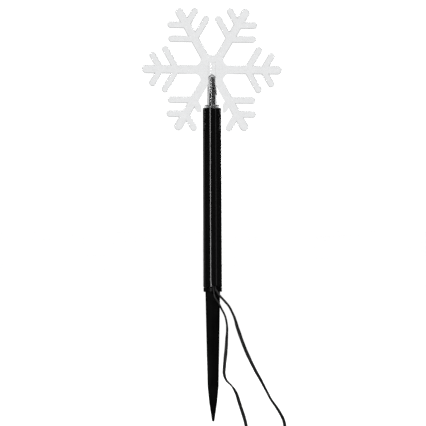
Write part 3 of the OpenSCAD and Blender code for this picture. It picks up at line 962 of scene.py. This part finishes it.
@dataclass(frozen=True)
class Set:
    """The pale floor, the soft lights and the camera."""

    frame_width: float = 308.7 * MM
    centre: tuple[float, float] = (0.4 * MM, 57.1 * MM)
    distance: float = 2.5
    lean: float = math.radians(0.22)
    sensor_mm: float = 36
    sight: float = 100
    floor_gap: float = 0.1 * MM
    floor_r: float = 30
    floor_sides: int = 64
    surround: float = 1.13
    surround_in_gloss: float = 0.03
    boxes: tuple[SoftBox, ...] = (
        SoftBox("left_strip", (-0.61, -1.37, 0.2), aim_z=0.2, size=(0.12, 1.6), power=10.5),
        SoftBox("right_strip", (1.15, -1.1, 0.2), aim_z=0.2, size=(0.16, 1.6), power=0.8),
        SoftBox("top_box", (0.3, -0.4, 1.8), aim_z=0.06, size=(1.0, 1.0), power=12),
        SoftBox("left_fill", (-1.35, 0.66, 0.2), aim_z=0.2, size=(0.3, 1.6), power=0.8),
        SoftBox("back_strip", (0.3, 1.5, 0.2), aim_z=0.2, size=(0.2, 1.6), power=10),
    )

    def camera(self) -> None:
        """Makes the long-lens camera, level with the upper pole."""
        data = bpy.data.cameras.new("camera")
        data.sensor_width = self.sensor_mm
        data.lens = data.sensor_width * self.distance / self.frame_width
        data.clip_end = self.sight
        camera = bpy.data.objects.new("camera", data)
        camera.location = (self.centre[0], -self.distance, self.centre[1])
        camera.rotation_euler = (math.pi / 2, self.lean, 0)
        bpy.context.scene.collection.objects.link(camera)
        bpy.context.scene.camera = camera

    def floor(self) -> None:
        """Makes the floor that the spare lead lies on."""
        bm = bmesh.new()
        bmesh.ops.create_circle(bm, cap_ends=True, segments=self.floor_sides, radius=self.floor_r)
        bmesh.ops.translate(bm, verts=bm.verts, vec=(0, 0, CAD_BOX[0][2] - self.floor_gap))
        data = bpy.data.meshes.new("floor")
        bm.to_mesh(data)
        bm.free()
        data.materials.append(Studio().material())
        floor = bpy.data.objects.new("floor", data)
        floor.visible_glossy = False
        bpy.context.scene.collection.objects.link(floor)

    def light(self, box: SoftBox) -> None:
        """Adds one soft box, which rays through the clear acrylic don't see.

        Args:
            box: The soft box.
        """
        data = bpy.data.lights.new(box.name, "AREA")
        data.shape = "RECTANGLE"
        data.size, data.size_y = box.size
        data.energy = box.power
        lamp = bpy.data.objects.new(box.name, data)
        lamp.location = box.place
        aim = Vector((0, 0, box.aim_z)) - Vector(box.place)
        lamp.rotation_euler = aim.to_track_quat("-Z", "Y").to_euler()
        lamp.visible_transmission = False
        bpy.context.scene.collection.objects.link(lamp)

    def lights(self) -> None:
        """Lights the set: a white surround that is dim where a gloss mirrors it, and the soft boxes."""
        world = bpy.data.worlds.new("studio")
        bpy.context.scene.world = world
        world.use_nodes = True
        tree = world.node_tree
        ray = tree.nodes.new("ShaderNodeLightPath")
        mirrored = tree.nodes.new("ShaderNodeMath")
        mirrored.operation = "SUBTRACT"
        tree.links.new(ray.outputs["Is Glossy Ray"], mirrored.inputs[0])
        tree.links.new(ray.outputs["Is Transmission Ray"], mirrored.inputs[1])
        level = tree.nodes.new("ShaderNodeMapRange")
        level.inputs["To Min"].default_value = self.surround
        level.inputs["To Max"].default_value = self.surround_in_gloss
        tree.links.new(mirrored.outputs["Value"], level.inputs["Value"])
        tree.links.new(level.outputs["Result"], tree.nodes["Background"].inputs["Strength"])
        tree.nodes["Background"].inputs["Color"].default_value = (1, 1, 1, 1)
        for box in self.boxes:
            self.light(box)

    def build(self) -> None:
        """Builds the set."""
        bpy.context.scene.view_settings.view_transform = "Standard"
        self.camera()
        self.floor()
        self.lights()


@dataclass(frozen=True)
class Snowflake:
    """The clear flake with its stem, and the plug that it turns in."""

    edge_r: float = 0.7 * MM
    edge_steps: int = 4
    plate_half: float = 1.5 * MM
    face_gap: float = 0.02 * MM
    upright: float = 0.1
    rim_turn: float = 60
    sharp_turn: float = 30
    stem_side: float = 12 * MM
    stem_top: float = 168 * MM

    def on_plate_rim(self, edge: bmesh.types.BMEdge) -> bool:
        """Picks the edges that run round the front or back of the flake's plate, clear of the stem.

        Args:
            edge: An edge of the flake.

        Returns:
            Whether it is one of them.
        """
        on_face = all(abs(abs(v.co.y) - self.plate_half) < self.face_gap for v in edge.verts)
        clear = any(abs(v.co.x) > self.stem_side or v.co.z > self.stem_top for v in edge.verts)
        return on_face and clear and min(abs(f.normal.y) for f in edge.link_faces) < self.upright

    def build(self) -> None:
        """Rounds the flake's rims and dresses the plug and its seal."""
        bm = copied("snowflake")
        rims = [e for e in crisp_edges(bm, self.rim_turn) if self.on_plate_rim(e)]
        soften(bm, rims, self.edge_r, self.edge_steps, clamp=False)
        clear = Finish.ACRYLIC.get()
        flake = add_piece(bm, "clear_snowflake", "head", clear, self.sharp_turn)
        even_normals(flake)
        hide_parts("snowflake")
        dress("stem_plug", clear)
        dress("seal_ring", Finish.RUBBER.get())


@dataclass(frozen=True)
class Pole:
    """The glossy tube, its base collar and the ground spike."""

    spike_edge: float = 0.3 * MM
    spike_shoulder: float = -0.5 * MM
    spike_turn: float = 20
    collar_edge: float = 0.12 * MM

    def build(self) -> None:
        """Dresses the tube, softens the collar and rounds the spike's edges below its shoulder."""
        dress("tube", Finish.GLOSS_TUBE.get())
        softened("base_collar", "pole", Finish.MOULDING, self.collar_edge)
        bm = copied("spike")
        crisp = crisp_edges(bm, self.spike_turn)
        below = [e for e in crisp if max(v.co.z for v in e.verts) < self.spike_shoulder]
        soften(bm, below, self.spike_edge)
        spike = add_piece(bm, "ground_spike", "spike", Finish.MOULDING.get())
        even_normals(spike)
        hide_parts("spike")


@dataclass(frozen=True)
class Lamp:
    """The lamp, leaning a little in the stem's bore: its body, cup, post and legs, and its shrink sleeve."""

    metal_share: float = 0.5
    cup_y: float = -0.35 * MM
    cup_r: float = 0.62 * MM
    cup_stem_r: float = 0.28 * MM
    cup_floor_r: float = 0.2 * MM
    cup_foot: float = 0.75
    cup_floor: float = 0.9
    cup_lip: float = 0.8
    cup_sides: int = 24
    post_y: float = 0.65 * MM
    post_t: float = 0.45 * MM
    post_share: float = 0.9
    post_lift: float = 0.02 * MM
    post_edge: float = 0.06 * MM
    sleeve: tuple[tuple[float, float], ...] = (
        (0, 2.05), (0.1, 2.1), (0.5, 2.1), (0.6, 2.2), (0.66, 2.14), (0.78, 2.08), (0.84, 1.86),
        (0.9, 1.72), (1, 1.66),
    )
    sleeve_wall: float = 0.2 * MM
    sleeve_steps: int = 30
    sleeve_sides: int = 40
    sleeve_sharp: float = 50
    lean: tuple[tuple[float, float], ...] = ((133, 0), (141, 0.28), (147.5, 0.6), (151, 0.42), (157, 0.45))

    def shift(self, z: float) -> float:
        """Reads off how far the lamp leans to the right.

        Args:
            z: A height in metres.

        Returns:
            The lean there, in metres.
        """
        if z <= self.lean[0][0] * MM:
            return 0.0
        for (low, near), (high, far) in zip(self.lean, self.lean[1:]):
            if z <= high * MM:
                return (near + (far - near) * (z / MM - low) / (high - low)) * MM
        return self.lean[-1][1] * MM

    def leaned(self, bm: bmesh.types.BMesh) -> bmesh.types.BMesh:
        """Leans a mesh with the lamp.

        Args:
            bm: The mesh, which is changed.

        Returns:
            The same mesh.
        """
        for vert in bm.verts:
            vert.co.x += self.shift(vert.co.z)
        return bm

    def metalwork(self) -> None:
        """Builds the cup and the post that stand inside the lamp's clear body."""
        low, high = box_of("led_lamp")
        middle = Vector((0, self.cup_y, low.z))
        height = (high.z - low.z) * self.metal_share
        bm = bmesh.new()
        cup = [
            (0, 0), (0, self.cup_stem_r), (height * self.cup_foot, self.cup_stem_r), (height, self.cup_r),
            (height, self.cup_r * self.cup_lip), (height * self.cup_floor, self.cup_floor_r),
            (height * self.cup_floor, 0),
        ]
        turned(bm, cup, middle, UP, self.cup_sides)
        post = bmesh.ops.create_cube(bm, size=1)["verts"]
        bmesh.ops.scale(bm, verts=post, vec=(self.post_t, self.post_t, height * self.post_share))
        post_z = low.z + height * self.post_share / 2 + self.post_lift
        bmesh.ops.translate(bm, verts=post, vec=(0, self.post_y, post_z))
        edges = list({e for v in post for e in v.link_edges})
        soften(bm, edges, self.post_edge, 2)
        add_piece(self.leaned(bm), "lamp_cup_and_post", "pole", Finish.TINNED.get())

    def shrink_sleeve(self) -> None:
        """Builds the sleeve, shrunk unevenly over the wires and the lamp's foot."""
        low, high = box_of("lamp_sleeve")
        height = high.z - low.z
        outer = []
        for k in range(self.sleeve_steps + 1):
            part = k / self.sleeve_steps
            for (a, r), (b, s) in zip(self.sleeve, self.sleeve[1:]):
                if a <= part <= b:
                    outer.append((part * height, (r + (s - r) * (part - a) / (b - a)) * MM))
                    break
        inner = [(along, radius - self.sleeve_wall) for along, radius in reversed(outer)]
        bm = bmesh.new()
        turned(bm, outer + inner, Vector((0, 0, low.z)), UP, self.sleeve_sides, closed=True)
        # The sleeve's pale line is a painted highlight.
        highlight_painted = Finish.LINED.get()
        sleeve = add_piece(self.leaned(bm), "shrunk_sleeve", "pole", highlight_painted, self.sleeve_sharp)
        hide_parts("lamp_sleeve")

    def build(self) -> None:
        """Builds the lamp."""
        leaning = self.leaned(copied("led_lamp"))
        body = add_piece(leaning, "lamp_body", "pole", Finish.EPOXY.get())
        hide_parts("led_lamp")
        dress("led_legs", Finish.TINNED.get())
        dress("lamp_holder", Finish.MOULDING.get())
        self.shrink_sleeve()
        self.metalwork()


@dataclass(frozen=True)
class Wiring:
    """The wires, splices and resistor inside the pole."""

    resistor_leg: float = 2.5 * MM

    def build(self) -> None:
        """Dresses the wiring."""
        for node in ("lamp_wires", "lead_cores", "lead_tails"):
            dress(node, Finish.FLEX.get())
        dress("splice_sleeves", Finish.SHRINK.get())
        dress("strain_tie", Finish.MOULDING.get())
        low, high = box_of("series_resistor")
        lacquer = BandedLacquer().material(low.z + self.resistor_leg, high.z - self.resistor_leg)
        dress("series_resistor", lacquer)


@dataclass
class Connectors:
    """The plug of the incoming lead and the socket of the outgoing lead, with the ties on both hanks."""

    boot_edge: float = 0.15 * MM
    body_edge: float = 0.1 * MM
    on_incoming: list[bpy.types.Object] = field(default_factory=list)
    on_outgoing: list[bpy.types.Object] = field(default_factory=list)

    def build(self) -> None:
        """Softens the boots and bodies, dresses the rest and sorts all of it by lead."""
        for name, found in (("plug", self.on_incoming), ("socket", self.on_outgoing)):
            found.append(softened(f"{name}_boot", "pole", Finish.RUBBER, self.boot_edge))
            found.append(softened(f"{name}_body", "pole", Finish.MOULDING, self.body_edge))
        self.on_incoming.append(softened("coupling_nut", "nut", Finish.MOULDING, self.body_edge))
        for found, node, finish in (
            (self.on_incoming, "plug_pins", Finish.BRASS),
            (self.on_incoming, "plug_seal", Finish.SILICONE),
            (self.on_incoming, "tie_in", Finish.FLEX),
            (self.on_outgoing, "socket_contacts", Finish.BRASS),
            (self.on_outgoing, "tie_out", Finish.FLEX),
        ):
            dress(node, finish.get())
            found.append(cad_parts[node])


@dataclass
class Leads:
    """Both leads, from the foot of the pole to their connectors."""

    incoming: FlexLead = field(default_factory=lambda: FlexLead(
        "incoming_lead", IN_ROUTE, IN_END_ROUTE,
        Hank(
            middle=(27.3 * MM, -12.6 * MM), top=-106.4 * MM, low=-110.8 * MM, turns=3.6,
            start=94.1 * MM, clockwise=True,
        ),
        seed=11, length=0.57, replaced=("lead_in", "hank_in"), far_end="plug",
    ))
    outgoing: FlexLead = field(default_factory=lambda: FlexLead(
        "outgoing_lead", OUT_ROUTE, OUT_END_ROUTE,
        Hank(
            middle=(27.3 * MM, 5.8 * MM), top=-106.6 * MM, low=-110.8 * MM, turns=3.4036,
            start=0.0, clockwise=False,
        ),
        seed=23, length=0.57, replaced=("lead_out", "hank_out"), far_end="connector",
    ))

    def build(self) -> None:
        """Builds both leads and their connectors, then logs each lead's length."""
        incoming, outgoing = self.incoming.build(), self.outgoing.build()
        ends = Connectors()
        ends.build()
        self.incoming.declare(incoming, ends.on_incoming)
        self.outgoing.declare(outgoing, ends.on_outgoing)


def main() -> None:
    """Builds the set, the leads and then the rest of the light, from the flake down."""
    logging.basicConfig(level=logging.INFO, format="%(name)s: %(message)s")
    Set().build()
    for assembly in (Leads(), Snowflake(), Pole(), Lamp(), Wiring()):
        assembly.build()
        LOG.info("%s built", type(assembly).__name__)


if __name__ == "__main__":
    main()
